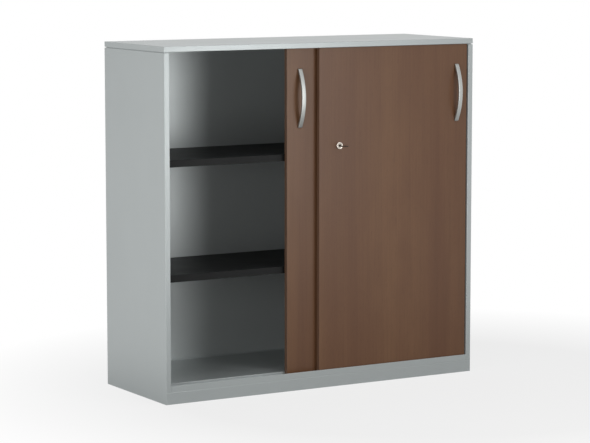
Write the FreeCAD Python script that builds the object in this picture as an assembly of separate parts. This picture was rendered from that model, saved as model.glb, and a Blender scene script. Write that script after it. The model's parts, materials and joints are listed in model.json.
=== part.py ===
import FreeCAD, Part
import math
import os

# Office cabinet: a steel carcass, two wood-decor doors that slide past each other,
# and two black steel shelves. Lengths are in millimetres, angles in degrees.
# X runs to the right, Y to the back, Z up. Pieces are drawn with Y = 0 at the carcass
# front, and are moved at the end so that the origin lies on the floor, under the
# middle of the whole outline.

# Carcass sizes
cabinet_width = 1200.0
cabinet_depth = 432.0
cabinet_height = 1165.0
sheet = 1.0
side_thickness = 18.0
top_thickness = 18.0
seam_gap = 2.5
seam_setback = 6.0
seam_side_setback = 4.0
bend_radius = 1.2
side_lip = 15.0
back_lip = 22.0
liner_lap = 8.0
top_lip = 30.0
back_recess = 1.0
back_flange = 15.0

# Base and cabinet floor
plinth_height = 39.5
plinth_seat = 15.0
plinth_foot_return = 12.0
rail_height = 21.0
rail_depth = 3.0
rail_edge_radius = 0.8
floor_drop = 0.8
tray_lip = 15.0
base_rail_width = 70.0
base_rail_height = 20.0

# Door tracks
track_drop = 10.5
groove_width = 7.0
bottom_groove_depth = 5.0
top_groove_depth = 10.0
track_screw_count = 5
track_stop_length = 20.0

# Doors
door_overlap = 32.0
door_thickness = 16.0
edging = 1.2
edging_round = 0.6
door_front_gap = 3.0
door_gap = 5.0
door_back_gap = 3.0
door_side_gap = 2.5
door_lift = 3.0
door_head_gap = 1.0
finger_room = 56.5
buffer_radius = 5.0
buffer_inset = 90.0
buffer_play = 0.3

# Door rollers and top guides
roller_radius = 11.0
roller_width = 5.0
roller_edge = 0.6
roller_inset = 70.0
roller_play = 0.3
axle_radius = 2.0
running_fit = 0.05
housing_length = 40.0
housing_width = 12.0
housing_height = 22.0
wheel_room = 1.5
wheel_side_room = 0.75
guide_inset = 60.0
guide_length = 20.0
guide_tongue = 5.0
guide_rise = 8.0
guide_root_length = 24.0
guide_root_width = 8.0
guide_root_depth = 18.0

# Bow handles
handle_drop = 67.0
handle_height = 198.0
handle_width = 15.0
handle_reach = 31.0
handle_thickness = 6.0
handle_end_rise = 5.0
handle_foot = 14.0
handle_round = 1.5
right_handle_inset = 44.5
left_handle_inset = 49.0
handle_thread = 5.0

# Cam lock in the right door, and its key
lock_drop = 328.5
lock_inset = 77.5
lock_bore_radius = 9.5
rosette_radius = 12.0
rosette_thickness = 6.0
rosette_round = 1.5
plug_radius = 7.0
plug_setback = 1.0
plug_tail = 0.2
keyway_width = 9.0
keyway_height = 2.6
keyway_depth = 15.5
keyway_play = 0.2
cam_thickness = 2.0
cam_width = 10.0
cam_hub_radius = 8.0
cam_angle = 30.0
cam_screw_radius = 2.0
cam_screw_length = 5.0
cam_screw_head_radius = 3.5
cam_screw_head = 1.4
lock_play = 1.0
catch_inset = 4.0
catch_lug = 8.0
catch_length = 27.0
catch_height = 16.0
catch_sheet = 1.0
catch_clearance = 0.6
catch_screw_shares = (1 / 4, 3 / 4)
key_stem = 20.0
key_bow_radius = 13.0
key_bow_overlap = 2.0
key_hole_radius = 1.9
key_hole_inset = 5.7
key_notch = 1.4
key_notch_count = 4
key_end_play = 0.5

# Shelves and shelf clips
shelf_fold = 23.5
shelf_lip = 12.0
shelf_side_gap = 2.0
shelf_front_gap = 1.0
shelf_back_gap = 1.5
slot_pitch = 29.0
slot_floor_room = 66.8
slot_head_room = 40.0
slot_height = 12.0
slot_width = 3.0
slot_inset = 40.0
lower_shelf_share = 0.265
upper_shelf_share = 0.647
clip_sheet = 1.5
clip_width = 20.0
clip_drop = 18.0
clip_reach = 14.0
clip_rise = 6.0
hook_play = 0.25
hook_reach = 3.0

# Screws
screw_radius = 2.0
screw_head_radius = 4.0
screw_head = 2.0
screw_length = 10.0
countersink = 2.0
screw_gap = 0.1

# Levelling feet
foot_stud_radius = 4.95
foot_stud_length = 38.0
foot_pad_radius = 15.0
foot_pad_height = 6.0
foot_pad_round = 1.5
foot_nut_flats = 16.0
foot_nut_height = 8.0
nut_sides = 6
foot_side_inset = 50.0
foot_end_inset = 25.0
foot_web_gap = 1.0
cap_radius = 8.0
cap_thickness = 1.0
cap_plug_radius = 6.0
cap_plug_depth = 5.0

# Drawing allowances
overrun = 1.0
tiny = 0.01

# Levels, from the floor up
rail_top = plinth_height + rail_height
floor_level = rail_top - floor_drop
track_top = rail_top - track_drop
door_bottom = track_top + door_lift
top_bottom = cabinet_height - top_thickness
side_top = top_bottom - seam_gap
door_top = top_bottom - door_head_gap
wheel_centre = track_top - bottom_groove_depth + roller_play + roller_radius
handle_bottom = door_top - handle_drop - handle_height
lock_height = door_top - lock_drop

# Rows of slots for the shelf clips, and the slots that the two shelves hang in
slot_start = floor_level + slot_floor_room
slot_count = int((side_top - slot_head_room - slot_start) / slot_pitch) + 1
lower_shelf_slot = round(lower_shelf_share * slot_count)
upper_shelf_slot = round(upper_shelf_share * slot_count)

# Widths, from the middle plane out
half_width = cabinet_width / 2
inner_half = half_width - side_thickness
liner_face = inner_half + sheet
skirt_face = half_width - sheet

# Depths, from the carcass front back
front_door_face = rail_depth + door_front_gap
front_door_back = front_door_face + door_thickness
rear_door_face = front_door_back + door_gap
rear_door_back = rear_door_face + door_thickness
channel_back = rear_door_back + door_back_gap
back_outer = cabinet_depth - back_recess
back_inner = back_outer - sheet
plinth_shelf = channel_back + plinth_seat
rear_shelf = back_outer - plinth_seat
side_window_back = cabinet_depth - back_lip

# Doors at rest: the right one closed, the left one slid open behind it as far as it
# goes, which leaves room for fingers between its handle and the right door's edge
door_width = inner_half - door_side_gap + door_overlap / 2
right_door_left = inner_half - door_side_gap - door_width
left_door_closed = -inner_half + door_side_gap
left_handle_x = right_door_left - finger_room - handle_width / 2
left_door_left = left_handle_x - left_handle_inset
door_travel = left_door_left - left_door_closed
right_handle_x = right_door_left + door_width - right_handle_inset

# Lock places, worked out with both doors closed
lock_x = right_door_left + lock_inset
cam_tip_x = left_door_closed + door_width - catch_inset + lock_play + cam_width / 2
cam_reach = (lock_x - cam_tip_x) / math.cos(math.radians(cam_angle))
catch_middle = lock_height + cam_reach * math.sin(math.radians(cam_angle))
plug_back = front_door_back + plug_tail
rosette_face = front_door_face - rosette_thickness
plug_face = rosette_face + plug_setback
key_tip = rosette_face - key_stem + key_bow_overlap - 2 * key_bow_radius
keyway_end = plug_face + keyway_depth

# The whole outline reaches ahead of the carcass by the key or by a handle
front_reach = max(-key_tip, handle_reach - front_door_face)
carcass_front = (front_reach - cabinet_depth) / 2

x_axis = FreeCAD.Vector(1, 0, 0)
y_axis = FreeCAD.Vector(0, 1, 0)
z_axis = FreeCAD.Vector(0, 0, 1)


def point(x, y, z):
    return FreeCAD.Vector(x, y, z)


def block(x0, x1, y0, y1, z0, z1):
    # A box between two opposite corners.
    return Part.makeBox(x1 - x0, y1 - y0, z1 - z0, point(x0, y0, z0))


def rod(radius, length, start, direction):
    return Part.makeCylinder(radius, length, start, direction)


def join(shapes):
    return shapes[0].multiFuse(shapes[1:]).removeSplitter()


def group(shapes):
    return Part.makeCompound(shapes)


def mirrored(shape):
    # The same piece on the other side of the middle plane.
    return shape.mirror(point(0, 0, 0), x_axis)


def both_sides(shapes):
    # The left pieces and their mirror images, as one group.
    return group(shapes + [mirrored(shape) for shape in shapes])


def round_edges(shape, radius, wanted):
    # Rounds the straight or curved edges whose middle point passes the test.
    picked = []
    for edge in shape.Edges:
        middle = edge.valueAt((edge.FirstParameter + edge.LastParameter) / 2)
        if wanted(middle):
            picked.append(edge)
    return shape.makeFillet(radius, picked)


def near(value, target):
    return abs(value - target) < tiny


def countersunk(start, direction, length, gap):
    # A flush screw, or with a gap the hole that takes it.
    head = Part.makeCone(screw_head_radius + gap, screw_radius + gap, countersink, start, direction)
    shank = rod(screw_radius + gap, length, start, direction)
    return join([head, shank])


def pan_screw(seat, direction, length):
    # A screw whose head stands on the seat and whose shank runs along direction.
    head = rod(screw_head_radius, screw_head, seat - direction * screw_head, direction)
    return join([head, rod(screw_radius, length, seat, direction)])


def screw_hole(seat, direction, length):
    return rod(screw_radius + screw_gap, length + 2 * overrun, seat - direction * overrun, direction)


# Side walls: an outer shell folded round a slotted inner sheet


def side_shell():
    shell = block(-half_width, -inner_half, 0, cabinet_depth, 0, side_top)

    def bend(p):
        at_end = near(p.y, 0) or near(p.y, cabinet_depth)
        upright = at_end and near(p.z, side_top / 2)
        upper = near(p.z, side_top) and (at_end or near(p.x, -half_width))
        return upright or upper

    shell = round_edges(shell, bend_radius, bend)
    hollow = block(-skirt_face, -liner_face, sheet, cabinet_depth - sheet,
                   plinth_height + sheet, side_top - sheet)
    window = block(-liner_face - overrun, -inner_half + overrun, channel_back, side_window_back,
                   plinth_height + side_lip, side_top - side_lip)
    below = block(-skirt_face, -inner_half + overrun, -overrun, cabinet_depth + overrun,
                  -overrun, plinth_height)
    holes = [screw_hole(seat, -x_axis, screw_length) for seat in back_screw_seats()]
    return shell.cut([hollow, window, below] + holes)


def slot_columns():
    return [channel_back + slot_inset, back_inner - slot_inset]


def slot_level(number):
    return slot_start + number * slot_pitch


def side_liner():
    low = plinth_height + side_lip - liner_lap
    high = side_top - side_lip + liner_lap
    liner = block(-liner_face - sheet, -liner_face, channel_back - liner_lap,
                  side_window_back + liner_lap, low, high)
    slots = []
    for column in slot_columns():
        for number in range(slot_count):
            level = slot_level(number)
            slots.append(block(-liner_face - sheet - overrun, -liner_face + overrun,
                               column - slot_width / 2, column + slot_width / 2,
                               level - slot_height / 2, level + slot_height / 2))
    return liner.cut(group(slots))


# Top: a folded tray on a set-back ceiling sheet, which leaves the dark seam


def ceiling_screw_places():
    across = half_width - sheet - top_lip + screw_head_radius + overrun
    deep = [channel_back + top_lip, (channel_back + back_inner) / 2, back_inner - top_lip]
    return [point(side * across, y, side_top) for side in (-1, 1) for y in deep]


def top_panel():
    top = block(-half_width, half_width, 0, cabinet_depth, top_bottom, cabinet_height)

    def outer_edge(p):
        return near(abs(p.x), half_width) or near(p.y, 0) or near(p.y, cabinet_depth)

    top = round_edges(top, bend_radius, outer_edge)
    hollow = block(-skirt_face, skirt_face, sheet, cabinet_depth - sheet,
                   top_bottom + sheet, cabinet_height - sheet)
    rear_mouth = block(-skirt_face + top_lip, skirt_face - top_lip, channel_back - overrun,
                       cabinet_depth - sheet - top_lip, top_bottom - overrun, top_bottom + sheet + overrun)
    track_mouth = block(-inner_half, inner_half, sheet, channel_back,
                        top_bottom - overrun, top_bottom + sheet + overrun)
    holes = [screw_hole(seat, z_axis, screw_length) for seat in ceiling_screw_places()]
    return top.cut([hollow, rear_mouth, track_mouth] + holes)


def ceiling_panel():
    across = half_width - seam_side_setback
    panel = block(-across, across, channel_back, cabinet_depth - seam_setback, side_top, top_bottom)
    return panel.cut([screw_hole(seat, z_axis, screw_length) for seat in ceiling_screw_places()])


def seam_spacers():
    # Strips on the side walls that carry the top on past the ceiling sheet, beside the doors.
    return both_sides([block(-half_width + seam_side_setback, -inner_half, seam_setback, channel_back,
                             side_top, top_bottom)])


def ceiling_screws():
    return group([pan_screw(seat, z_axis, screw_length) for seat in ceiling_screw_places()])


# Back and floor


def shelf_level(slot_number):
    # The height of a shelf's upper face.
    return slot_level(slot_number) + clip_rise + shelf_fold


def back_screw_seats():
    # One screw in the middle of each of the three compartments, on the left side.
    levels = [floor_level, shelf_level(lower_shelf_slot), shelf_level(upper_shelf_slot), side_top]
    middles = [(low + high) / 2 for low, high in zip(levels, levels[1:])]
    return [point(-inner_half + sheet, back_inner - back_flange / 2, z) for z in middles]


def back_panel():
    panel = block(-inner_half, inner_half, back_inner - back_flange, back_outer, floor_level, side_top)
    hollow = block(-inner_half + sheet, inner_half - sheet, back_inner - back_flange - overrun, back_inner,
                   floor_level + sheet, side_top - sheet)
    left_holes = [screw_hole(seat, -x_axis, screw_length) for seat in back_screw_seats()]
    return panel.cut([hollow] + left_holes + [mirrored(hole) for hole in left_holes])


def back_screws():
    return both_sides([pan_screw(seat, -x_axis, screw_length) for seat in back_screw_seats()])


def foot_places():
    across = half_width - foot_side_inset
    return {
        "front_left": (-across, plinth_shelf + foot_end_inset),
        "front_right": (across, plinth_shelf + foot_end_inset),
        "rear_left": (-across, rear_shelf - foot_end_inset),
        "rear_right": (across, rear_shelf - foot_end_inset),
    }


def bottom_panel():
    tray = block(-inner_half, inner_half, channel_back, back_outer, plinth_height, floor_level)

    def front_bend(p):
        return near(p.z, floor_level) and near(p.y, channel_back)

    tray = round_edges(tray, bend_radius, front_bend)
    hollow = block(-inner_half + sheet, inner_half - sheet, channel_back + sheet, back_inner,
                   plinth_height + sheet, floor_level - sheet)
    inset = sheet + tray_lip
    mouth = block(-inner_half + inset, inner_half - inset, channel_back + inset, back_outer - inset,
                  plinth_height - overrun, plinth_height + sheet + overrun)
    low = floor_level - sheet - overrun
    holes = [rod(cap_plug_radius + screw_gap, sheet + 2 * overrun, point(x, y, low), z_axis)
             for x, y in foot_places().values()]
    return tray.cut([hollow, mouth] + holes)


def foot_hole_caps():
    caps = []
    for x, y in foot_places().values():
        disc = rod(cap_radius, cap_thickness, point(x, y, floor_level), z_axis)
        plug = rod(cap_plug_radius, cap_plug_depth, point(x, y, floor_level - cap_plug_depth), z_axis)
        caps.append(join([disc, plug]))
    return group(caps)


def bottom_rail():
    # A strip folded over into a narrow upside-down U ahead of the door track.
    rail = block(-inner_half, inner_half, 0, rail_depth, plinth_height, rail_top)

    def upper_edge(p):
        return near(p.z, rail_top) and near(p.x, 0)

    rail = round_edges(rail, rail_edge_radius, upper_edge)
    fold = block(-inner_half - overrun, inner_half + overrun, sheet, rail_depth - sheet,
                 plinth_height - overrun, rail_top - sheet)
    return rail.cut(fold)


# Base


def plinth(face, shelf_end, foot_end):
    # A channel with its open side towards the middle of the base.
    near_y, far_y = sorted((face, shelf_end))
    towards = 1 if shelf_end > face else -1
    web = sorted((face + towards * sheet, shelf_end + towards * overrun))
    foot = sorted((foot_end, shelf_end + towards * overrun))
    body = block(-skirt_face, skirt_face, near_y, far_y, 0, plinth_height)

    def bend(p):
        return near(p.y, face) and near(p.x, 0)

    body = round_edges(body, bend_radius, bend)
    across = skirt_face + overrun
    hollow = block(-across, across, web[0], web[1], sheet, plinth_height - sheet)
    short_foot = block(-across, across, foot[0], foot[1], -overrun, sheet + overrun)
    return body.cut([hollow, short_foot])


def base_rails():
    outer = -skirt_face
    inner = outer + base_rail_width
    low = plinth_height - base_rail_height
    rail = block(outer, inner, plinth_shelf, rear_shelf, low, plinth_height)
    hollow = block(outer + sheet, inner - sheet, plinth_shelf - overrun, rear_shelf + overrun,
                   low - overrun, plinth_height - sheet)
    holes = [rod(foot_stud_radius + foot_web_gap, sheet + 2 * overrun,
                 point(x, y, plinth_height - sheet - overrun), z_axis)
             for x, y in foot_places().values() if x < 0]
    return both_sides([rail.cut([hollow] + holes)])


def foot_nuts():
    nuts = []
    for x, y in foot_places().values():
        low = plinth_height - sheet - foot_nut_height
        corner = foot_nut_flats / 2 / math.cos(math.pi / nut_sides)
        ring = []
        for side in range(nut_sides):
            turn = 2 * math.pi * side / nut_sides
            ring.append(point(x + corner * math.cos(turn), y + corner * math.sin(turn), low))
        nut = Part.Face(Part.makePolygon(ring + ring[:1])).extrude(z_axis * foot_nut_height)
        bore = rod(foot_stud_radius + running_fit, foot_nut_height + 2 * overrun,
                   point(x, y, low - overrun), z_axis)
        nuts.append(nut.cut(bore))
    return group(nuts)


def levelling_foot(place):
    x, y = foot_places()[place]
    pad = rod(foot_pad_radius, foot_pad_height, point(x, y, 0), z_axis)

    def upper_rim(p):
        return near(p.z, foot_pad_height)

    pad = round_edges(pad, foot_pad_round, upper_rim)
    return join([pad, rod(foot_stud_radius, foot_stud_length, point(x, y, foot_pad_height), z_axis)])


# Door tracks, their stops and the rubber buffers


def groove_lines():
    # The middle of the front door's and of the rear door's groove.
    return [(front_door_face + front_door_back) / 2, (rear_door_face + rear_door_back) / 2]


def track_screw_places():
    middle = sum(groove_lines()) / 2
    pitch = 2 * inner_half / track_screw_count
    return [(-inner_half + pitch * (number + 1 / 2), middle) for number in range(track_screw_count)]


def track_grooves(low, high):
    across = inner_half + overrun
    return [block(-across, across, line - groove_width / 2, line + groove_width / 2, low, high)
            for line in groove_lines()]


def track_screw_set(level, direction, length, gap):
    return [countersunk(point(x, y, level), direction, length, gap) for x, y in track_screw_places()]


def bottom_track():
    track = block(-inner_half, inner_half, rail_depth, channel_back, plinth_height, track_top)
    grooves = track_grooves(track_top - bottom_groove_depth, track_top + overrun)
    depth = track_top - plinth_height + overrun
    return track.cut(grooves + track_screw_set(track_top, -z_axis, depth, screw_gap))


def top_track():
    track = block(-inner_half, inner_half, rail_depth, channel_back, top_bottom, cabinet_height - sheet)
    grooves = track_grooves(top_bottom - overrun, top_bottom + top_groove_depth)
    return track.cut(grooves + track_screw_set(top_bottom, z_axis, screw_length, screw_gap))


def bottom_track_screws():
    return group(track_screw_set(track_top, -z_axis, track_top - plinth_height, 0))


def top_track_screws():
    return group(track_screw_set(top_bottom, z_axis, screw_length, 0))


def track_stops():
    # Blocks in the top grooves that a door's guide meets when that door is fully open.
    front_line, rear_line = groove_lines()
    rear_guide = left_door_left + door_width - guide_inset + guide_length / 2
    front_guide = right_door_left - door_travel + guide_inset - guide_length / 2
    rear_start = rear_guide + buffer_play
    front_start = front_guide - buffer_play - track_stop_length
    stops = []
    for start, line in ((rear_start, rear_line), (front_start, front_line)):
        stops.append(block(start, start + track_stop_length,
                           line - groove_width / 2, line + groove_width / 2,
                           top_bottom, top_bottom + top_groove_depth))
    return group(stops)


def door_buffers():
    # Round buffers that each door's outer edge comes to rest against when it is closed.
    front_line, rear_line = groove_lines()
    length = door_side_gap - buffer_play
    buffers = []
    for z in (door_bottom + buffer_inset, door_top - buffer_inset):
        buffers.append(rod(buffer_radius, length, point(-inner_half, rear_line, z), x_axis))
        buffers.append(rod(buffer_radius, length, point(inner_half, front_line, z), -x_axis))
    return group(buffers)


# Shelves on clips that hook into the slotted inner sheets


def shelf(slot_number):
    top = shelf_level(slot_number)
    across = inner_half - shelf_side_gap
    front = channel_back + shelf_front_gap
    back = back_inner - shelf_back_gap
    tray = block(-across, across, front, back, top - shelf_fold, top)

    def front_edge(p):
        return near(p.z, top) and near(p.y, front)

    tray = round_edges(tray, bend_radius, front_edge)
    hollow = block(-across + sheet, across - sheet, front + sheet, back - sheet,
                   top - shelf_fold + sheet, top - sheet)
    inset = sheet + shelf_lip
    mouth = block(-across + inset, across - inset, front + inset, back - inset,
                  top - shelf_fold - overrun, top - shelf_fold + sheet + overrun)
    return tray.cut([hollow, mouth])


def shelf_clips(slot_number):
    level = slot_level(slot_number)
    top = level + clip_rise
    clips = []
    for column in slot_columns():
        low_y = column - clip_width / 2
        high_y = column + clip_width / 2
        leg = block(-liner_face, -liner_face + clip_sheet, low_y, high_y, top - clip_drop, top)
        seat = block(-liner_face, -liner_face + clip_reach, low_y, high_y, top - clip_sheet, top)
        hook = block(-liner_face - hook_reach, -liner_face,
                     column - slot_width / 2 + hook_play, column + slot_width / 2 - hook_play,
                     level - slot_height / 2 + hook_play, level + slot_height / 2 - hook_play)
        clips.append(join([leg, seat, hook]))
    return both_sides(clips)


# Doors: both are built alike, from their left edge and front face


def door_middle(face):
    return face + door_thickness / 2


def roller_places(left_edge):
    return [left_edge + roller_inset, left_edge + door_width - roller_inset]


def guide_places(left_edge):
    return [left_edge + guide_inset, left_edge + door_width - guide_inset]


def roller_pockets(left_edge, face):
    middle = door_middle(face)
    return [block(x - housing_length / 2, x + housing_length / 2, middle - housing_width / 2,
                  middle + housing_width / 2, door_bottom - overrun, door_bottom + housing_height)
            for x in roller_places(left_edge)]


def guide_pockets(left_edge, face):
    middle = door_middle(face)
    return [block(x - guide_root_length / 2, x + guide_root_length / 2, middle - guide_root_width / 2,
                  middle + guide_root_width / 2, door_top - guide_root_depth, door_top + overrun)
            for x in guide_places(left_edge)]


def handle_screw_levels():
    return [handle_bottom + handle_foot / 2, handle_bottom + handle_height - handle_foot / 2]


def handle_screw_set(handle_x, face, gap):
    length = door_thickness + handle_thread
    return [countersunk(point(handle_x, face + door_thickness, z), -y_axis, length, gap)
            for z in handle_screw_levels()]


def door_panel(left_edge, face, extra_cuts):
    board = block(left_edge + edging, left_edge + door_width - edging, face, face + door_thickness,
                  door_bottom + edging, door_top - edging)
    return board.cut(roller_pockets(left_edge, face) + guide_pockets(left_edge, face) + extra_cuts)


def door_edging(left_edge, face):
    right_edge = left_edge + door_width
    back = face + door_thickness

    def upright(x0, x1, outer_x):
        band = block(x0, x1, face, back, door_bottom, door_top)

        def outer_corner(p):
            at_face = near(p.y, face) or near(p.y, back)
            return near(p.x, outer_x) and at_face and near(p.z, (door_bottom + door_top) / 2)

        return round_edges(band, edging_round, outer_corner)

    bands = [upright(left_edge, left_edge + edging, left_edge),
             upright(right_edge - edging, right_edge, right_edge)]
    lower = block(left_edge + edging, right_edge - edging, face, back, door_bottom, door_bottom + edging)
    upper = block(left_edge + edging, right_edge - edging, face, back, door_top - edging, door_top)
    lower_parts = lower.cut(roller_pockets(left_edge, face)).Solids
    upper_parts = upper.cut(guide_pockets(left_edge, face)).Solids
    return group(bands + lower_parts + upper_parts)


def roller_housings(left_edge, face):
    middle = door_middle(face)
    room = roller_radius + wheel_room
    slot_half = roller_width / 2 + wheel_side_room
    housings = []
    for x in roller_places(left_edge):
        body = block(x - housing_length / 2, x + housing_length / 2, middle - housing_width / 2,
                     middle + housing_width / 2, door_bottom, door_bottom + housing_height)
        slot = block(x - room, x + room, middle - slot_half, middle + slot_half,
                     door_bottom - overrun, wheel_centre + room)
        bore = rod(axle_radius, housing_width + 2 * overrun,
                   point(x, middle - housing_width / 2 - overrun, wheel_centre), y_axis)
        housings.append(body.cut([slot, bore]))
    return group(housings)


def roller_axles(left_edge, face):
    start = door_middle(face) - housing_width / 2
    return group([rod(axle_radius, housing_width, point(x, start, wheel_centre), y_axis)
                  for x in roller_places(left_edge)])


def roller(x, face):
    start = door_middle(face) - roller_width / 2
    wheel = rod(roller_radius, roller_width, point(x, start, wheel_centre), y_axis)

    def rim(p):
        return near(p.y, start) or near(p.y, start + roller_width)

    wheel = round_edges(wheel, roller_edge, rim)
    bore = rod(axle_radius + running_fit, roller_width + 2 * overrun,
               point(x, start - overrun, wheel_centre), y_axis)
    return wheel.cut(bore)


def top_guides(left_edge, face):
    middle = door_middle(face)
    guides = []
    for x in guide_places(left_edge):
        root = block(x - guide_root_length / 2, x + guide_root_length / 2, middle - guide_root_width / 2,
                     middle + guide_root_width / 2, door_top - guide_root_depth, door_top)
        tongue = block(x - guide_length / 2, x + guide_length / 2, middle - guide_tongue / 2,
                       middle + guide_tongue / 2, door_top, top_bottom + guide_rise)
        guides.append(join([root, tongue]))
    return group(guides)


def bow_handle(handle_x, face):
    # A strap bent to a bow, drawn from the side and given its width along X.
    x = handle_x - handle_width / 2
    low = handle_bottom
    high = handle_bottom + handle_height
    middle = (low + high) / 2
    outer = Part.Arc(point(x, face - handle_end_rise, low), point(x, face - handle_reach, middle),
                     point(x, face - handle_end_rise, high)).toShape()
    inner = Part.Arc(point(x, face, high - handle_foot),
                     point(x, face - handle_reach + handle_thickness, middle),
                     point(x, face, low + handle_foot)).toShape()
    upper = Part.makePolygon([point(x, face - handle_end_rise, high), point(x, face, high),
                              point(x, face, high - handle_foot)]).Edges
    lower = Part.makePolygon([point(x, face, low + handle_foot), point(x, face, low),
                              point(x, face - handle_end_rise, low)]).Edges
    outline = Part.Wire([outer] + upper + [inner] + lower)
    handle = Part.Face(outline).extrude(x_axis * handle_width)

    def long_edge(p):
        return near(p.z, middle) and (near(p.x, x) or near(p.x, x + handle_width))

    handle = round_edges(handle, handle_round, long_edge)
    return handle.cut(handle_screw_set(handle_x, face, screw_gap))


# Lock in the right door, and its catch on the left door


def lock_rosette():
    ring = rod(rosette_radius, rosette_thickness, point(lock_x, rosette_face, lock_height), y_axis)

    def front_rim(p):
        return near(p.y, rosette_face)

    ring = round_edges(ring, rosette_round, front_rim)
    return ring.cut(rod(plug_radius + running_fit, rosette_thickness + 2 * overrun,
                        point(lock_x, rosette_face - overrun, lock_height), y_axis))


def lock_barrel():
    sleeve = rod(lock_bore_radius, door_thickness, point(lock_x, front_door_face, lock_height), y_axis)
    return sleeve.cut(rod(plug_radius + running_fit, door_thickness + 2 * overrun,
                          point(lock_x, front_door_face - overrun, lock_height), y_axis))


def lock_plug():
    plug = rod(plug_radius, plug_back - plug_face, point(lock_x, plug_face, lock_height), y_axis)
    keyway = block(lock_x - keyway_width / 2, lock_x + keyway_width / 2, plug_face - overrun, keyway_end,
                   lock_height - keyway_height / 2, lock_height + keyway_height / 2)
    thread = rod(cam_screw_radius, cam_screw_length + overrun,
                 point(lock_x, plug_back - cam_screw_length, lock_height), y_axis)
    return plug.cut([keyway, thread])


def lock_cam():
    # At rest the arm points down and to the right, clear of the catch's path.
    turn = math.radians(-cam_angle)
    tip = point(lock_x + cam_reach * math.cos(turn), plug_back, lock_height + cam_reach * math.sin(turn))
    hub = rod(cam_hub_radius, cam_thickness, point(lock_x, plug_back, lock_height), y_axis)
    end = rod(cam_width / 2, cam_thickness, tip, y_axis)
    arm = block(0, cam_reach, plug_back, plug_back + cam_thickness, -cam_width / 2, cam_width / 2)
    arm.rotate(point(0, 0, 0), y_axis, cam_angle)
    arm.translate(point(lock_x, 0, lock_height))
    hole = rod(cam_screw_radius, cam_thickness + 2 * overrun,
               point(lock_x, plug_back - overrun, lock_height), y_axis)
    return join([hub, arm, end]).cut(hole)


def cam_screw():
    head_face = plug_back + cam_thickness
    shank = rod(cam_screw_radius, cam_screw_length + cam_thickness,
                point(lock_x, plug_back - cam_screw_length, lock_height), y_axis)
    head = rod(cam_screw_head_radius, cam_screw_head, point(lock_x, head_face, lock_height), y_axis)
    return join([shank, head])


def key():
    # The blade lies flat in the keyway, and the round bow stands out ahead of the door.
    half = keyway_width / 2 - keyway_play
    thin = keyway_height / 2 - keyway_play
    blade_end = keyway_end - key_end_play
    stem_end = rosette_face - key_stem
    blade = block(lock_x - half, lock_x + half, stem_end, blade_end, lock_height - thin, lock_height + thin)
    bow_middle = key_tip + key_bow_radius
    bow = rod(key_bow_radius, 2 * thin, point(lock_x, bow_middle, lock_height - thin), z_axis)
    hole = rod(key_hole_radius, 2 * thin + 2 * overrun,
               point(lock_x, key_tip + key_hole_inset, lock_height - thin - overrun), z_axis)
    notches = []
    pitch = (blade_end - plug_face) / (key_notch_count + 1)
    for number in range(key_notch_count):
        y = plug_face + pitch * (number + 1)
        edge = lock_x + half
        corners = [point(edge + tiny, y - key_notch, lock_height - thin - overrun),
                   point(edge + tiny, y + key_notch, lock_height - thin - overrun),
                   point(edge - key_notch, y, lock_height - thin - overrun)]
        notch = Part.Face(Part.makePolygon(corners + corners[:1]))
        notches.append(notch.extrude(z_axis * (2 * thin + 2 * overrun)))
    return join([blade, bow]).cut([hole] + notches)


def catch_screw_places():
    right_edge = left_door_left + door_width - catch_inset - catch_lug
    plate = catch_length - catch_lug
    return [point(right_edge - plate * share, rear_door_face - catch_sheet, catch_middle)
            for share in catch_screw_shares]


def catch_screw_set(gap):
    length = catch_sheet + screw_length
    return [countersunk(place, y_axis, length, gap) for place in catch_screw_places()]


def lock_catch():
    # A plate on the left door's face with a lug that the cam's end stops against.
    right = left_door_left + door_width - catch_inset
    low = catch_middle - catch_height / 2
    high = catch_middle + catch_height / 2
    plate = block(right - catch_length, right, rear_door_face - catch_sheet, rear_door_face, low, high)
    lug = block(right - catch_lug, right, front_door_back + catch_clearance, rear_door_face, low, high)
    return join([plate, lug]).cut(catch_screw_set(screw_gap))


lock_hole = rod(lock_bore_radius, door_thickness + 2 * overrun,
                point(lock_x, front_door_face - overrun, lock_height), y_axis)

pieces = {
    "left_side_shell": side_shell(),
    "right_side_shell": mirrored(side_shell()),
    "left_side_liner": side_liner(),
    "right_side_liner": mirrored(side_liner()),
    "top_panel": top_panel(),
    "ceiling_panel": ceiling_panel(),
    "seam_spacers": seam_spacers(),
    "ceiling_screws": ceiling_screws(),
    "back_panel": back_panel(),
    "back_screws": back_screws(),
    "bottom_panel": bottom_panel(),
    "foot_hole_caps": foot_hole_caps(),
    "bottom_rail": bottom_rail(),
    "plinth_front": plinth(0, plinth_shelf, plinth_foot_return),
    "plinth_rear": plinth(back_outer, rear_shelf, back_outer - plinth_foot_return),
    "base_rails": base_rails(),
    "foot_nuts": foot_nuts(),
    "bottom_track": bottom_track(),
    "bottom_track_screws": bottom_track_screws(),
    "top_track": top_track(),
    "top_track_screws": top_track_screws(),
    "track_stops": track_stops(),
    "door_buffers": door_buffers(),
    "upper_shelf": shelf(upper_shelf_slot),
    "lower_shelf": shelf(lower_shelf_slot),
    "upper_shelf_clips": shelf_clips(upper_shelf_slot),
    "lower_shelf_clips": shelf_clips(lower_shelf_slot),
    "lock_rosette": lock_rosette(),
    "lock_barrel": lock_barrel(),
    "lock_plug": lock_plug(),
    "lock_cam": lock_cam(),
    "cam_screw": cam_screw(),
    "key": key(),
    "lock_catch": lock_catch(),
    "catch_screws": group(catch_screw_set(0)),
}

for place in foot_places():
    pieces[place + "_foot"] = levelling_foot(place)

doors = {
    "right": (right_door_left, front_door_face, right_handle_x, [lock_hole]),
    "left": (left_door_left, rear_door_face, left_handle_x, catch_screw_set(screw_gap)),
}

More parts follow.
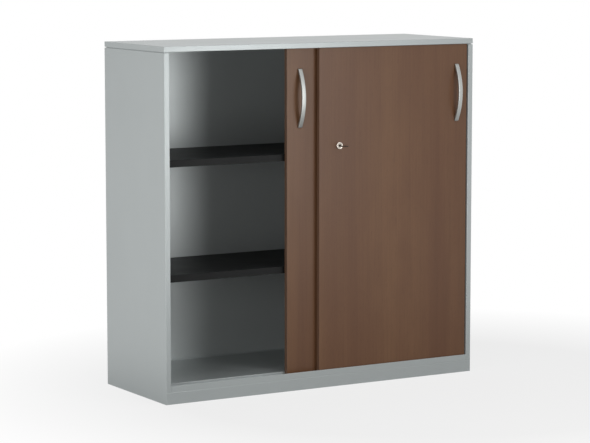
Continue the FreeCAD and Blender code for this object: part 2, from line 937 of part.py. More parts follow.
for name, (left_edge, face, handle_x, extra_cuts) in doors.items():
    screw_holes = handle_screw_set(handle_x, face, screw_gap)
    pieces[name + "_door_panel"] = door_panel(left_edge, face, screw_holes + extra_cuts)
    pieces[name + "_door_edging"] = door_edging(left_edge, face)
    pieces[name + "_handle"] = bow_handle(handle_x, face)
    pieces[name + "_handle_screws"] = group(handle_screw_set(handle_x, face, 0))
    pieces[name + "_roller_housings"] = roller_housings(left_edge, face)
    pieces[name + "_roller_axles"] = roller_axles(left_edge, face)
    pieces[name + "_top_guides"] = top_guides(left_edge, face)
    for number, x in enumerate(roller_places(left_edge), start=1):
        pieces[name + "_roller_" + str(number)] = roller(x, face)

os.makedirs("parts", exist_ok=True)
for node, shape in pieces.items():
    placed = shape.copy()
    placed.translate(point(0, carcass_front, 0))
    placed.exportStep("parts/" + node + ".step")
    print(node, "solids", len(placed.Solids), "valid", placed.isValid(), "mm3", round(placed.Volume))
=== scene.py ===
# %% [markdown]
# # Dressing an office cabinet
# The cabinet stands ready as a frame of solid pieces: a folded steel carcass, two doors
# that slide past each other, black shelves, bow handles and a cam lock. In this lesson
# every piece gets the surface that it has on the real thing. We go from the frame to the
# finishes, then to the small turned and cut pieces, the light and the camera.

# %% Load the frame
import json
import math

import bpy
import bmesh
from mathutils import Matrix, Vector


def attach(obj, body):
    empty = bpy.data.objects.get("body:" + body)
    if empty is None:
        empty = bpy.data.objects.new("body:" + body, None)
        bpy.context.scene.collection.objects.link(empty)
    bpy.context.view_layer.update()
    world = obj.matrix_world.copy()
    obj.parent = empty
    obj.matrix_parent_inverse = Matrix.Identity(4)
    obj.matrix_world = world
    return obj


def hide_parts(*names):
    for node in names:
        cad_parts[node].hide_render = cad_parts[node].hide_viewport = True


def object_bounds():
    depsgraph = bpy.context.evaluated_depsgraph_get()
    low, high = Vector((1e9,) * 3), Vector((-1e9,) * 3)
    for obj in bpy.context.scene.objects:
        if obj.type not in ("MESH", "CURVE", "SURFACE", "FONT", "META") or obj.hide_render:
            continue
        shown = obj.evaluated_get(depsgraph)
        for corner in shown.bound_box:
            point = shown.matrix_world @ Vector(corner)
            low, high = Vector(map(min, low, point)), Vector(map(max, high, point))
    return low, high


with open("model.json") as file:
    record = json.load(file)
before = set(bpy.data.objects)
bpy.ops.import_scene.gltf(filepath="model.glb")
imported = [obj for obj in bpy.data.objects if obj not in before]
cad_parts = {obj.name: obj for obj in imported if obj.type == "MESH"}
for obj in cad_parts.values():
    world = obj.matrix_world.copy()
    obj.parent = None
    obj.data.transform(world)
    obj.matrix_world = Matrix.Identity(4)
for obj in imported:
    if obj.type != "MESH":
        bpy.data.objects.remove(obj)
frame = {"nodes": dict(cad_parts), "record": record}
cad_low, cad_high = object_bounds()
print("outline in metres", [round(value, 4) for value in cad_high - cad_low])

# %% [markdown]
# Each piece in the frame names the finish that its maker would order. Reading those
# orders once gives us a shopping list: which finish goes on which pieces.

# %% Which finish goes on which piece
ordered = {row["node"]: row["material_slot"] for row in frame["record"]["subparts"]}
for finish in sorted(set(ordered.values())):
    print(finish, sum(1 for order in ordered.values() if order == finish))

# %% [markdown]
# A finish is a small network of nodes. Three helpers begin each recipe. The first turns a
# colour into light: we write colours as they look on a screen, from 0 to 255, and Blender
# counts in light. The second starts a material, and the third adds a node to its network.

# %% Helpers: colour, material, node
def tone(red, green, blue):
    def light(value):
        # The standard curve of screens.
        share = value / 255
        return share / 12.92 if share <= 0.04045 else ((share + 0.055) / 1.055) ** 2.4
    return (light(red), light(green), light(blue), 1.0)


def start_finish(name):
    material = bpy.data.materials.new(name)
    material.use_nodes = True
    return material, material.node_tree, material.node_tree.nodes["Principled BSDF"]


def add(tree, kind, values=None, **settings):
    node = tree.nodes.new(kind)
    for key, value in settings.items():
        setattr(node, key, value)
    for key, value in (values or {}).items():
        node.inputs[key].default_value = value
    return node


print("mid grey as light", [round(value, 3) for value in tone(128, 128, 128)])

# %% [markdown]
# Patterns on a sheet or a board have a real size: orange peel on powder coat is about a
# millimetre, wood grain is narrow across and long upwards. So each pattern is measured in
# metres, with a width for each direction, on the piece's own coordinates. The pattern
# then moves with the piece when a door slides. A cloudy pattern lies mostly in the middle
# of its range, so a last helper stretches that middle over the range that we want.

# %% Helpers: a pattern of a given size
middle_part = (0.35, 0.65)
wide_part = (0.3, 0.7)
mm_in_a_metre = 1000


def sized_place(tree, across, deep, upright, shift=(0, 0, 0)):
    place = add(tree, "ShaderNodeTexCoord")
    scale = (1 / across, 1 / deep, 1 / upright)
    sizing = add(tree, "ShaderNodeMapping", {"Location": shift, "Scale": scale})
    tree.links.new(place.outputs["Object"], sizing.inputs["Vector"])
    return sizing.outputs["Vector"]


def cloudy(tree, vector, detail=2.0, distortion=0.0):
    noise = add(tree, "ShaderNodeTexNoise", {"Scale": 1.0, "Detail": detail, "Distortion": distortion})
    tree.links.new(vector, noise.inputs["Vector"])
    return noise.outputs["Fac"]


def spread(tree, value, low, high, to_low, to_high):
    # Stretches the part from low to high over a new range.
    fit = add(tree, "ShaderNodeMapRange", {
        "From Min": low, "From Max": high, "To Min": to_low, "To Max": to_high})
    tree.links.new(value, fit.inputs["Value"])
    return fit.outputs["Result"]


print("stretched parts", middle_part, wide_part)

# %% [markdown]
# A stretched pattern does two things. It blends two tones, and it stands up as a relief.
# Peel and pores are a few hundredths of a millimetre deep, far too fine to model, so the
# relief only bends the light. Whatever is deeper than that is modelled.

# %% Helpers: colours and relief
def blend_tones(tree, share, first, second):
    # first and second are tones, or outputs of other nodes.
    mix = add(tree, "ShaderNodeMix", data_type="RGBA")
    for place, colour in (("A", first), ("B", second)):
        socket = [s for s in mix.inputs if s.name == place and s.type == "RGBA"][0]
        if isinstance(colour, tuple):
            socket.default_value = colour
        else:
            tree.links.new(colour, socket)
    tree.links.new(share, mix.inputs["Factor"])
    return [s for s in mix.outputs if s.type == "RGBA"][0]


def relief(tree, shader, height, depth, strength=1.0):
    bump = add(tree, "ShaderNodeBump", {"Strength": strength, "Distance": depth})
    tree.links.new(height, bump.inputs["Height"])
    tree.links.new(bump.outputs["Normal"], shader.inputs["Normal"])


print("patterns can now colour and roughen a surface")

# %% [markdown]
# ## Powder-coated steel
# The carcass is sheet steel, sprayed with a silver-grey powder and baked. The powder
# holds fine metal flakes, so a wall is bright where it mirrors the lamp, and darker where
# it mirrors the floor. Up close the coat has a fine orange peel. A flat grey would look
# like paper. So we make the coat partly metal, and add a slow drift of tone, a peel of
# about a millimetre, and a gloss that wavers a little. The back panel has the same coat,
# painted in a lighter tone: painted light, standing in for light that falls on it. The
# black shelves have no flakes, and otherwise use the same recipe.

# %% Powder coat
peel_size = 0.0012
peel_depth = 0.00003
drift_size = 0.25
waver_size = (drift_size / 3, drift_size / 3, drift_size)
waver_shift = (7, 3, 1)
grey_gloss = (0.35, 0.38)
grey_flakes = 0.36
grey_shine = 0.5
black_gloss = (0.48, 0.52)
black_shine = 0.16


def powder_coat(name, light_tone, dark_tone, gloss, flakes, shine):
    material, tree, shader = start_finish(name)
    drift = cloudy(tree, sized_place(tree, drift_size, drift_size, drift_size), detail=3.0)
    share = spread(tree, drift, *middle_part, 0.0, 1.0)
    tree.links.new(blend_tones(tree, share, light_tone, dark_tone), shader.inputs["Base Color"])
    wavering = cloudy(tree, sized_place(tree, *waver_size, waver_shift))
    tree.links.new(spread(tree, wavering, *wide_part, *gloss), shader.inputs["Roughness"])
    peel = cloudy(tree, sized_place(tree, peel_size, peel_size, peel_size), detail=1.0)
    relief(tree, shader, peel, peel_depth)
    shader.inputs["Metallic"].default_value = flakes
    shader.inputs["Specular IOR Level"].default_value = shine
    print(name, "roughness", gloss, "flakes", flakes)
    return material


grey_steel = powder_coat(
    "grey_powder_coat", tone(177, 183, 183), tone(175, 181, 181), grey_gloss, grey_flakes, grey_shine)
# The back panel's lighter tone is painted light, standing in for light that falls on it.
back_steel_painted_light = powder_coat(
    "grey_powder_coat_painted_light", tone(193, 199, 199), tone(191, 197, 197), grey_gloss, grey_flakes, grey_shine)
black_steel = powder_coat(
    "black_powder_coat", tone(21, 22, 22), tone(19, 20, 20), black_gloss, 0.0, black_shine)

# %% [markdown]
# ## Walnut laminate
# The doors are chipboard with a printed walnut decor. It is a quiet print: wide upright
# bands that are a little lighter or darker, soft clouds where the grain shimmers, a tall
# pointed figure where the saw met the heart of the tree, fine streaks and short dark
# pores. We build each one as a stretched pattern and stack them. Each door has its own
# shift, as cut from another part of the same long sheet.

# %% Walnut laminate
band_size = (0.16, 0.16, 2.2)
cloud_size = (0.06, 0.06, 0.16)
figure_size = (0.17, 0.17, 1.5)
streak_size = (0.006, 0.006, 0.4)
pore_size = (0.0012, 0.0012, 0.022)
walnut_light = tone(116, 82, 55)
walnut_deep = tone(101, 67, 44)
walnut_dark = tone(72, 47, 30)
band_part = (0.38, 0.62)
cloud_part = (0.4, 0.75)
streak_part = (0.45, 0.8)
pore_part = (0.62, 0.74)
cloud_share = 0.45
figure_share = 0.08
streak_share = 0.22
pore_share = 0.35
pore_depth = 0.00004
walnut_gloss = (0.34, 0.4)
walnut_shine = 0.42
right_board_shift = (3.84, 0.2, 0.4)
left_board_shift = (4.7, 2.2, 1.7)


def walnut(name, shift):
    material, tree, shader = start_finish(name)
    bands = cloudy(tree, sized_place(tree, *band_size, shift), detail=2.0, distortion=0.3)
    ground = blend_tones(tree, spread(tree, bands, *band_part, 0.0, 1.0), walnut_light, walnut_deep)
    clouds = cloudy(tree, sized_place(tree, *cloud_size, shift), detail=3.0)
    clouded = blend_tones(tree, spread(tree, clouds, *cloud_part, 0.0, cloud_share), ground, walnut_deep)
    rings = add(tree, "ShaderNodeTexWave", {
        "Scale": 1.0, "Distortion": 3.0, "Detail": 2.0, "Detail Scale": 0.6}, wave_type="RINGS",
        rings_direction="Y", wave_profile="SAW")
    tree.links.new(sized_place(tree, *figure_size, shift), rings.inputs["Vector"])
    drawn = spread(tree, rings.outputs["Fac"], 0.0, 1.0, 0.0, figure_share)
    figured = blend_tones(tree, drawn, clouded, walnut_dark)
    streaks = cloudy(tree, sized_place(tree, *streak_size, shift), detail=3.0)
    streaky = spread(tree, streaks, *streak_part, 0.0, streak_share)
    streaked = blend_tones(tree, streaky, figured, walnut_dark)
    pores = cloudy(tree, sized_place(tree, *pore_size, shift), detail=1.0)
    pored = blend_tones(tree, spread(tree, pores, *pore_part, 0.0, pore_share), streaked, walnut_dark)
    tree.links.new(pored, shader.inputs["Base Color"])
    tree.links.new(spread(tree, streaks, *wide_part, *walnut_gloss), shader.inputs["Roughness"])
    relief(tree, shader, pores, pore_depth, strength=-1.0)
    shader.inputs["Specular IOR Level"].default_value = walnut_shine
    print(name, "pores in mm", [round(mm_in_a_metre * size, 1) for size in pore_size])
    return material


walnut_right = walnut("walnut_laminate_right", right_board_shift)
walnut_left = walnut("walnut_laminate_left", left_board_shift)

# %% [markdown]
# The cut edges of the boards are closed with a thin plastic band in a darker brown. It
# has a faint grain along its length and it is a little duller than the face.

# %% Edge band
band_light = tone(107, 79, 61)
band_dark = tone(93, 67, 51)
band_line_size = (0.002, 0.002, 0.06)
band_gloss = (0.45, 0.55)
band_depth = 0.00003


def edge_band():
    material, tree, shader = start_finish("walnut_edge_band")
    lines = cloudy(tree, sized_place(tree, *band_line_size), detail=2.0)
    share = spread(tree, lines, *middle_part, 0.0, 1.0)
    tree.links.new(blend_tones(tree, share, band_light, band_dark), shader.inputs["Base Color"])
    tree.links.new(spread(tree, lines, *wide_part, *band_gloss), shader.inputs["Roughness"])
    relief(tree, shader, lines, band_depth)
    return material


dark_edging = edge_band()
print("edge band lines in mm", [round(mm_in_a_metre * size, 1) for size in band_line_size])

# %% [markdown]
# ## Metals
# Bare metals differ by how they were worked. The handles are satin: brushed along their
# length and plated. The lock and the key are polished nickel, the screws are zinc plated,
# and the tracks are drawn aluminium with fine lines along the draw. The middle of the
# lock's plug has gone dull from years of keys. It and the key are also painted a dark
# brown grey. That is painted shade: on the key it stands in for the shade it sits in and
# the shadow it throws on the door, and on the plug for the shade of the key and the
# keyway. One recipe does them all: a lighter and a darker tone, brush lines with a width
# for each direction, a range of gloss, and the depth of the lines.

# %% Metals
def worked_metal(name, light_tone, dark_tone, line_size, gloss, depth):
    material, tree, shader = start_finish(name)
    lines = cloudy(tree, sized_place(tree, *line_size), detail=3.0)
    share = spread(tree, lines, *wide_part, 0.0, 1.0)
    tree.links.new(blend_tones(tree, share, light_tone, dark_tone), shader.inputs["Base Color"])
    tree.links.new(spread(tree, lines, *wide_part, *gloss), shader.inputs["Roughness"])
    relief(tree, shader, lines, depth)
    shader.inputs["Metallic"].default_value = 1.0
    print(name, "brush lines in mm", [round(mm_in_a_metre * size, 2) for size in line_size])
    return material


satin_metal = worked_metal("satin_handle_metal", tone(172, 174, 171), tone(158, 160, 158),
                           (0.0004, 0.0004, 0.02), (0.36, 0.46), 0.00001)
nickel = worked_metal("polished_nickel", tone(212, 204, 195), tone(196, 188, 179),
                      (0.004, 0.004, 0.004), (0.16, 0.24), 0.000002)
# The plug's dark tone is painted shade, from the key and the keyway.
plug_painted_shade = worked_metal("plug_metal_with_painted_shade", tone(72, 67, 63), tone(58, 54, 50),
                          (0.0006, 0.006, 0.006), (0.28, 0.38), 0.000005)
# The key's dark tone is painted shade: the key in shade and its shadow on the door.
key_metal = worked_metal("key_metal_painted_shade", tone(64, 54, 47), tone(50, 42, 36),
                         (0.0006, 0.006, 0.0006), (0.25, 0.42), 0.00001)
zinc_steel = worked_metal("zinc_plate", tone(196, 198, 202), tone(168, 171, 177),
                          (0.002, 0.002, 0.002), (0.3, 0.45), 0.00001)
track_aluminium = worked_metal("drawn_aluminium", tone(205, 206, 206), tone(184, 186, 187),
                               (0.06, 0.0005, 0.0005), (0.32, 0.45), 0.00001)

# %% [markdown]
# ## Plastics and rubber
# The rollers are natural nylon, which lets a little light in. The housings and caps are
# moulded grey plastic with a spark-eroded grain, and the buffers are matt black rubber.

# %% Plastics and rubber
nylon_glow_share = 0.15
nylon_glow_reach = (0.004, 0.004, 0.003)


def moulded(name, light_tone, dark_tone, grain_size, gloss, depth):
    material, tree, shader = start_finish(name)
    grain = cloudy(tree, sized_place(tree, grain_size, grain_size, grain_size), detail=2.0)
    share = spread(tree, grain, *middle_part, 0.0, 1.0)
    tree.links.new(blend_tones(tree, share, light_tone, dark_tone), shader.inputs["Base Color"])
    tree.links.new(spread(tree, grain, *wide_part, *gloss), shader.inputs["Roughness"])
    relief(tree, shader, grain, depth)
    print(name, "grain in mm", mm_in_a_metre * grain_size)
    return material


grey_plastic = moulded("moulded_grey_plastic", tone(118, 121, 121), tone(106, 109, 109),
                       0.0008, (0.5, 0.62), 0.00004)
white_nylon = moulded("natural_nylon", tone(226, 223, 212), tone(214, 210, 198),
                      0.003, (0.35, 0.45), 0.00001)
black_rubber = moulded("matt_rubber", tone(40, 39, 38), tone(31, 30, 30),
                       0.0015, (0.72, 0.85), 0.00005)
nylon_shader = white_nylon.node_tree.nodes["Principled BSDF"]
nylon_shader.inputs["Subsurface Weight"].default_value = nylon_glow_share
nylon_shader.inputs["Subsurface Radius"].default_value = nylon_glow_reach

# %% [markdown]
# ## Finishes on the pieces
# Now the shopping list is filled. Three pieces take a finish of their own: the left door
# its own cut of walnut, the lock's plug a duller metal that is painted dark as painted
# shade, and the back panel the lighter coat, which is painted light. Everything else takes
# the finish that it ordered.

# %% Put the finishes on the pieces
finishes = {
    "grey_steel": grey_steel,
    "black_steel": black_steel,
    "wood_decor": walnut_right,
    "dark_edging": dark_edging,
    "satin_metal": satin_metal,
    "nickel": nickel,
    "key_metal": key_metal,
    "zinc_steel": zinc_steel,
    "grey_plastic": grey_plastic,
    "white_nylon": white_nylon,
    "track_aluminium": track_aluminium,
    "black_rubber": black_rubber,
}


def dress(piece, material):
    if not piece.material_slots:
        piece.data.materials.append(material)
    for slot in piece.material_slots:
        slot.material = material


# The back panel's lighter coat is painted light, and the plug's dark metal is painted shade.
own_finish = {"left_door_panel": walnut_left, "lock_plug": plug_painted_shade, "back_panel": back_steel_painted_light}
for name, piece in frame["nodes"].items():
    dress(piece, own_finish.get(name) or finishes[ordered[name]])
print("dressed", len(frame["nodes"]), "pieces")

# %% [markdown]
# ## From sections to a surface
# The handles, the lock and the key are small, but hands and eyes go there first, so they
# get their true curves. The handles and the lock are made the same way: closed outlines
# with equal numbers of points, joined one after another into a skin, and capped at both
# ends. The key is cut from sheet, so it starts from a curve, further down. Where two
# faces meet at less than the crease angle, they shade as one smooth surface.

# %% Helpers: skins
crease_deg = 35


def skin(name, outlines, material, body, node, smooth_deg=crease_deg):
    # outlines are lists of points in metres, in the frame's own place.
    mesh = bpy.data.meshes.new(name)
    shape = bmesh.new()
    rows = [[shape.verts.new(point) for point in outline] for outline in outlines]
    for first, second in zip(rows, rows[1:]):
        for number in range(len(first)):
            after = (number + 1) % len(first)
            shape.faces.new((first[number], first[after], second[after], second[number]))
    shape.faces.new(rows[0][::-1])
    shape.faces.new(rows[-1])
    bmesh.ops.recalc_face_normals(shape, faces=shape.faces)
    shape.to_mesh(mesh)
    shape.free()
    mesh.shade_smooth()
    mesh.set_sharp_from_angle(angle=math.radians(smooth_deg))
    piece = bpy.data.objects.new(name, mesh)
    bpy.context.scene.collection.objects.link(piece)
    dress(piece, material)
    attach(piece, body)
    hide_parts(node)
    return piece


def reach_of(node):
    # The lowest and highest corner of a frame piece, in metres.
    piece = frame["nodes"][node]
    corners = [piece.matrix_world @ Vector(corner) for corner in piece.bound_box]
    low = Vector(min(corner[axis] for corner in corners) for axis in range(3))
    high = Vector(max(corner[axis] for corner in corners) for axis in range(3))
    return low, high


print("right handle from", [round(value, 4) for value in reach_of("right_handle")[0]])

# %% [markdown]
# ## Bow handles
# A handle is a strap, bent to a bow, that stands on two feet. Seen from the side it lies
# between an outer and an inner arc. Each section across it is a square with well rounded
# corners, so a soft light runs along it. Towards the ends the sections shrink along a
# quarter circle, and stop just short of its end, so the caps keep a little area.

# %% Bow handles
strap_thickness = 0.006
strap_end_rise = 0.005
strap_foot = 0.014
strap_end_round = 0.003
strap_squareness = 5.5
strap_end_share = 0.94
strap_rows = 72
strap_corners = 40
end_rows = 6


def arc_depth(along, half, end_depth, middle_depth):
    # How far an arc stands out, at a place along its chord.
    rise = middle_depth - end_depth
    radius = (half * half + rise * rise) / (2 * rise)
    return end_depth + math.sqrt(max(radius * radius - along * along, 0.0)) - (radius - rise)


def rounded(value, squareness):
    # Turns the sine or cosine of a circle into that of a square with rounded corners.
    return math.copysign(abs(value) ** (2 / squareness), value)


def strap_outline(low, high, along, shrink):
    # One section across the strap, at a place along its height from the middle.
    half = (high.z - low.z) / 2
    outer = arc_depth(along, half, strap_end_rise, high.y - low.y) - shrink
    span = half - strap_foot
    inner = arc_depth(along, span, 0.0, high.y - low.y - strap_thickness) if abs(along) < span else 0.0
    middle_x, middle_z = (low.x + high.x) / 2, (low.z + high.z) / 2
    wide = (high.x - low.x) / 2 - shrink
    deep = (outer - inner) / 2
    points = []
    for number in range(strap_corners):
        turn = 2 * math.pi * number / strap_corners
        points.append((middle_x + wide * rounded(math.cos(turn), strap_squareness),
                       high.y - inner - deep + deep * rounded(math.sin(turn), strap_squareness),
                       middle_z + along))
    return points


def bow_handle(name, node, body):
    low, high = reach_of(node)
    half = (high.z - low.z) / 2
    plain = half - strap_end_round
    places = [(plain * (2 * number / strap_rows - 1), 0.0) for number in range(strap_rows + 1)]
    for number in range(1, end_rows + 1):
        turn = math.pi / 2 * number / end_rows * strap_end_share
        along = plain + strap_end_round * math.sin(turn)
        shrink = strap_end_round * (1 - math.cos(turn))
        places = [(-along, shrink)] + places + [(along, shrink)]
    outlines = [strap_outline(low, high, along, shrink) for along, shrink in places]
    return skin(name, outlines, satin_metal, body, node, smooth_deg=50)


bows = (("right_bow", "right_handle", "right_door"), ("left_bow", "left_handle", "left_door"))
for name, node, body in bows:
    bow = bow_handle(name, node, body)
    print(name, len(bow.data.polygons), "faces")

# %% [markdown]
# ## Lock
# The rosette is turned: its skin is a profile swept round the lock's axis. It has a
# rounded rim and a dished face that falls towards the bore. Its profile closes on itself,
# so the two caps that a skin has are taken off again and the seam is sewn up.

# %% Lock rosette
turned_sides = 96
# Radius, and height above the door, in millimetres.
rosette_profile = [
    (7.3, 0.0), (11.6, 0.0), (12.0, 0.4), (12.0, 4.3), (11.87, 4.95), (11.5, 5.5), (10.95, 5.87),
    (10.3, 6.0), (9.4, 5.92), (8.5, 5.65), (7.75, 5.25), (7.4, 4.9), (7.3, 4.5), (7.3, 0.0)]
sewing_reach = 1e-6


def round_outline(middle, radius, y):
    return [(middle.x + radius * math.cos(turn), y, middle.z + radius * math.sin(turn))
            for turn in (2 * math.pi * number / turned_sides for number in range(turned_sides))]


def lock_rosette():
    low, high = reach_of("lock_rosette")
    middle = (low + high) / 2
    outlines = [round_outline(middle, radius / mm_in_a_metre, high.y - height / mm_in_a_metre)
                for radius, height in rosette_profile]
    piece = skin("turned_rosette", outlines, nickel, "right_door", "lock_rosette")
    shape = bmesh.new()
    shape.from_mesh(piece.data)
    caps = [face for face in shape.faces if len(face.verts) > 4]
    bmesh.ops.delete(shape, geom=caps, context="FACES_ONLY")
    bmesh.ops.remove_doubles(shape, verts=shape.verts, dist=sewing_reach)
    bmesh.ops.recalc_face_normals(shape, faces=shape.faces)
    shape.to_mesh(piece.data)
    shape.free()
    return piece


rosette = lock_rosette()
print("rosette", len(rosette.data.polygons), "faces")

# %% [markdown]
# The plug sits in the rosette's bore. It has a chamfered rim and a chamfered keyway, with
# a dark slot behind. Its rim is polished like the rosette, and its middle is dull from
# years of keys and painted dark: painted shade from the key and the keyway. So the faces
# outside the middle get the polished metal.

# %% Lock plug
plug_radius = 0.007
plug_chamfer = 0.0004
plug_face_radius = 0.0052
keyway_half_width = 0.0045
keyway_half_height = 0.0013
keyway_depth = 0.0155
tiny = 1e-9


def keyway_outline(middle, grow, y):
    # A rectangle with as many points as the circles, so that they join in one skin.
    points = []
    wide, tall = keyway_half_width + grow, keyway_half_height + grow
    for number in range(turned_sides):
        turn = 2 * math.pi * number / turned_sides
        scale = min(wide / max(abs(math.cos(turn)), tiny), tall / max(abs(math.sin(turn)), tiny))
        points.append((middle.x + scale * math.cos(turn), y, middle.z + scale * math.sin(turn)))
    return points


def lock_plug():
    low, high = reach_of("lock_plug")
    middle = (low + high) / 2
    front = low.y
    outlines = [
        round_outline(middle, plug_radius, high.y),
        round_outline(middle, plug_radius, front + plug_chamfer),
        round_outline(middle, plug_radius - plug_chamfer, front),
        round_outline(middle, plug_face_radius, front),
        keyway_outline(middle, plug_chamfer, front),
        keyway_outline(middle, 0.0, front + plug_chamfer),
        keyway_outline(middle, 0.0, front + keyway_depth)]
    piece = skin("slotted_plug", outlines, plug_painted_shade, "lock_cylinder", "lock_plug", smooth_deg=20)
    # The middle keeps the dark metal, which is painted shade; faces outside it get the nickel.
    piece.data.materials.append(nickel)
    for face in piece.data.polygons:
        across = math.hypot(face.center.x - middle.x, face.center.z - middle.z)
        if len(face.vertices) == 4 and across > plug_face_radius:
            face.material_index = 1
    return piece


plug = lock_plug()
print("plug", len(plug.data.polygons), "faces")

# %% [markdown]
# ## Key
# The key is stamped from sheet and then milled. We draw its outline seen from above: a
# round bow with a hole, a narrower neck, two shoulders, and the blade with its cuts and
# its chisel point.

# %% Key outline
bow_radius = 0.013
bow_hole_radius = 0.0019
bow_hole_inset = 0.0057
neck_half_width = 0.0034
blade_half_width = 0.0043
blade_point_width = 0.0015
blade_point_length = 0.0012
key_cuts = (0.0009, 0.0014, 0.0006, 0.0012)
key_cut_shares = (0.25, 0.45, 0.7)
first_cut_inset = 0.003
uncut_length = 0.006
shoulder_ahead = 0.0035
shoulder_slope = 0.001
bow_steps = 48
bow_hole_steps = 24


def key_outline(middle_x, tip, end, shoulder):
    # Runs from the blade's end past the cuts and round the bow.
    bow_y = tip + bow_radius
    point_half = blade_half_width - blade_point_width
    points = [(-point_half, end), (0.0, end), (point_half, end - blade_point_length)]
    pitch = (end - shoulder - uncut_length) / len(key_cuts)
    down, along, up = (share * pitch for share in key_cut_shares)
    for number, cut in enumerate(key_cuts):
        y = end - first_cut_inset - pitch * number
        floor_x = blade_half_width - cut
        points += [(blade_half_width, y), (floor_x, y - down),
                   (floor_x, y - along), (blade_half_width, y - up)]
    points += [(blade_half_width, shoulder), (neck_half_width, shoulder - shoulder_slope)]
    start = math.asin(neck_half_width / bow_radius)
    for number in range(bow_steps + 1):
        turn = start + (2 * math.pi - 2 * start) * number / bow_steps
        points.append((bow_radius * math.sin(turn), bow_y + bow_radius * math.cos(turn)))
    points += [(-neck_half_width, shoulder - shoulder_slope), (-blade_half_width, shoulder),
               (-blade_half_width, end - blade_point_length)]
    return [(middle_x + x, y) for x, y in points]


print("cuts in mm", [round(mm_in_a_metre * cut, 1) for cut in key_cuts])

# %% [markdown]
# A flat curve can get its thickness and a small round on its edges in one go. We fill the
# outline with the hole left free, give it both, and keep the mesh that comes out.

# %% Key
key_edge_round = 0.00035
key_round_steps = 2


def flat_curve(name, outlines, thickness):
    data = bpy.data.curves.new(name, "CURVE")
    data.dimensions = "2D"
    data.fill_mode = "BOTH"
    data.extrude = thickness / 2 - key_edge_round
    data.bevel_depth = key_edge_round
    data.bevel_resolution = key_round_steps
    data.offset = -key_edge_round
    for outline in outlines:
        line = data.splines.new("POLY")
        line.points.add(len(outline) - 1)
        for place, (x, y) in zip(line.points, outline):
            place.co = (x, y, 0, 1)
        line.use_cyclic_u = True
    curve = bpy.data.objects.new(name, data)
    bpy.context.scene.collection.objects.link(curve)
    bpy.context.view_layer.update()
    finished = curve.evaluated_get(bpy.context.evaluated_depsgraph_get())
    mesh = bpy.data.meshes.new_from_object(finished)
    bpy.data.objects.remove(curve)
    return mesh


def stamped_key():
    low, high = reach_of("key")
    middle_x, level = (low.x + high.x) / 2, (low.z + high.z) / 2
    shoulder = reach_of("lock_plug")[0].y - shoulder_ahead
    outline = key_outline(middle_x, low.y, high.y, shoulder)
    hole_y = low.y + bow_hole_inset
    hole = [(middle_x + bow_hole_radius * math.cos(turn), hole_y + bow_hole_radius * math.sin(turn))
            for turn in (2 * math.pi * number / bow_hole_steps for number in range(bow_hole_steps))]
    mesh = flat_curve("stamped_key", [outline, hole], high.z - low.z)
    mesh.shade_smooth()
    mesh.set_sharp_from_angle(angle=math.radians(crease_deg))
    piece = bpy.data.objects.new("stamped_key", mesh)
    bpy.context.scene.collection.objects.link(piece)
    piece.location = (0, 0, level)
    # The key's dark metal is painted shade.
    dress(piece, key_metal)
    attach(piece, "door_key")
    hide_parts("key")
    return piece


key = stamped_key()
print("key", len(key.data.polygons), "faces")

# %% [markdown]
# ## Floor and surroundings
# A material can ask what kind of ray it meets: one that comes straight from the camera,
# or one that a shiny surface has mirrored. So the floor and the sky can be white in the
# picture and in reflections, and still light the cabinet at a plain level. Small nodes
# do the arithmetic.

# %% Helpers: rays and arithmetic
white_light = (1, 1, 1, 1)


def calculate(tree, operation, first, second):
    # first and second are outputs of other nodes, or plain numbers.
    node = add(tree, "ShaderNodeMath", operation=operation)
    for socket, value in zip(node.inputs, (first, second)):
        if isinstance(value, (int, float)):
            socket.default_value = value
        else:
            tree.links.new(value, socket)
    return node.outputs["Value"]


def mirrored_ray(tree):
    # 1 for rays that left a glossy surface or went through glass.
    path = add(tree, "ShaderNodeLightPath")
    return calculate(tree, "MAXIMUM", path.outputs["Is Glossy Ray"], path.outputs["Is Transmission Ray"])


def camera_ray(tree):
    return add(tree, "ShaderNodeLightPath").outputs["Is Camera Ray"]


print("white is", white_light)

# %% [markdown]
# A catalogue picture has a white ground. The floor here is pale and matt, so it sends
# light back up and takes the shadow. Seen by the camera it turns to pure white a little
# way from the cabinet. The coated steel mirrors it too, and near the cabinet it mirrors
# a darker floor, because the cabinet shades it. The shaded patch lies a little to the
# front and the right, away from the lamps that light the side.

# %% Floor
floor_size = 400.0
floor_tone = (0.6, 0.6, 0.6, 1.0)
shadow_room = 0.8
shadow_middle = (0.3, -0.3, 0.0)
camera_shadow_share = 0.22
mirror_shadow_share = 0.72


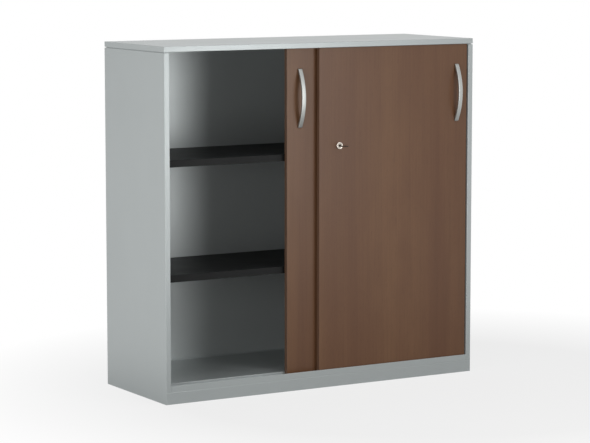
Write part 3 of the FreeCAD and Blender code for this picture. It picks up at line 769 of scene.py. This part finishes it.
def make_floor():
    bpy.ops.mesh.primitive_plane_add(size=floor_size, location=(0, 0, 0))
    floor = bpy.context.object
    floor.name = "pale_floor"
    material = bpy.data.materials.new("pale_floor")
    material.use_nodes = True
    tree = material.node_tree
    tree.nodes.remove(tree.nodes["Principled BSDF"])
    matt = add(tree, "ShaderNodeBsdfDiffuse", {"Color": floor_tone})
    white = add(tree, "ShaderNodeEmission", {"Color": white_light, "Strength": 1.0})
    place = add(tree, "ShaderNodeTexCoord")
    distance = add(tree, "ShaderNodeVectorMath", {1: shadow_middle}, operation="DISTANCE")
    tree.links.new(place.outputs["Object"], distance.inputs[0])
    reach = (cad_high - cad_low).length / 2
    # near is 1 in the shaded patch and falls to 0 over the shadow's room.
    near = spread(tree, distance.outputs["Value"], reach, reach + shadow_room, 1.0, 0.0)
    seen = calculate(tree, "SUBTRACT", 1.0, calculate(tree, "MULTIPLY", near, camera_shadow_share))
    mirrored = calculate(tree, "SUBTRACT", 1.0, calculate(tree, "MULTIPLY", near, mirror_shadow_share))
    share = calculate(tree, "MAXIMUM", calculate(tree, "MULTIPLY", camera_ray(tree), seen),
                      calculate(tree, "MULTIPLY", mirrored_ray(tree), mirrored))
    mix = add(tree, "ShaderNodeMixShader")
    tree.links.new(share, mix.inputs["Fac"])
    tree.links.new(matt.outputs["BSDF"], mix.inputs[1])
    tree.links.new(white.outputs["Emission"], mix.inputs[2])
    tree.links.new(mix.outputs["Shader"], tree.nodes["Material Output"].inputs["Surface"])
    floor.data.materials.append(material)
    return floor


floor = make_floor()
print("floor", floor.dimensions[0], "m wide")

# %% [markdown]
# The sky is soft grey light for the object, and white for the camera and for
# reflections. It is kept low, because the lamps draw the edges and the folds.

# %% Sky
sky_level = 0.25


def make_sky():
    world = bpy.data.worlds.new("soft_studio")
    bpy.context.scene.world = world
    world.use_nodes = True
    tree = world.node_tree
    tree.nodes.clear()
    light = add(tree, "ShaderNodeBackground", {"Color": white_light, "Strength": sky_level})
    white = add(tree, "ShaderNodeBackground", {"Color": white_light, "Strength": 1.0})
    mix = add(tree, "ShaderNodeMixShader")
    out = add(tree, "ShaderNodeOutputWorld")
    tree.links.new(calculate(tree, "MAXIMUM", camera_ray(tree), mirrored_ray(tree)), mix.inputs["Fac"])
    tree.links.new(light.outputs["Background"], mix.inputs[1])
    tree.links.new(white.outputs["Background"], mix.inputs[2])
    tree.links.new(mix.outputs["Shader"], out.inputs["Surface"])


make_sky()
print("sky level", sky_level)

# %% [markdown]
# ## Lamps
# The picture tells where its main lamp stood. The handles throw their shadows to the
# left, more so on the left door than on the right. The edge of the open door throws a
# soft shadow over the back panel. And the left front strip is bright down to knee
# height, where it stops mirroring the lamp. Together these give a narrow, tall soft box,
# about two metres in front and a little to the right. Two more light the side from the
# left front and the left rear, a fourth one hangs overhead, and a weak fifth one fills
# the right side, which the picture doesn't show. Each has a place, a point that it aims
# at, a width, a height and a brightness.

# %% Lamps
def soft_box(name, place, aim, width, tall, brightness):
    # brightness is how bright its face looks, where 1 is the white of the background.
    data = bpy.data.lights.new(name, "AREA")
    data.shape = "RECTANGLE"
    data.size, data.size_y = width, tall
    data.energy = brightness * math.pi * width * tall
    piece = bpy.data.objects.new(name, data)
    bpy.context.scene.collection.objects.link(piece)
    piece.location = place
    piece.rotation_euler = (Vector(aim) - Vector(place)).to_track_quat("-Z", "Y").to_euler()
    piece.visible_camera = False
    print(name, "at", place, "brightness", brightness, "energy", round(data.energy, 1))
    return piece


soft_box("main_soft_box", (0.6, -2.07, 1.0), (0.1, -0.2, 0.75), 0.8, 1.4, 3.2)
soft_box("left_front_box", (-2.9, -1.8, 0.65), (0, 0, 0.35), 2.4, 1.3, 3.4)
soft_box("left_rear_box", (-2.9, 0.6, 0.65), (-0.6, 0, 0.4), 2.0, 1.3, 1.0)
soft_box("overhead_soft_box", (0.0, -0.8, 3.2), (0, 0, 0.6), 1.4, 1.4, 1.7)
soft_box("right_side_box", (3.2, -0.2, 0.8), (0.6, 0, 0.55), 1.8, 1.5, 1.5)

# %% [markdown]
# ## Camera
# The picture was taken with a long lens from the left front, a little above the top. Its
# place was worked out from the corners of the cabinet in the picture. There the uprights
# are parallel, as from a lens with shift. Ours has no shift and is tipped down a little,
# so that it serves from every side. With a lens this long, the uprights stay nearly
# parallel.

# %% Camera
lens_mm = 144.907
sensor_mm = 36.0
far_end = 500.0
eye = (-4.1159, -6.9424, 1.5283)
yaw_deg = 30.67
pitch_deg = 6.947


def make_camera():
    data = bpy.data.cameras.new("catalogue_camera")
    data.lens = lens_mm
    data.sensor_width = sensor_mm
    data.clip_end = far_end
    camera = bpy.data.objects.new("catalogue_camera", data)
    bpy.context.scene.collection.objects.link(camera)
    camera.location = eye
    camera.rotation_euler = (math.radians(90 - pitch_deg), 0, math.radians(-yaw_deg))
    bpy.context.scene.camera = camera


make_camera()
bpy.context.scene.view_settings.view_transform = "Standard"
print("camera at", eye)
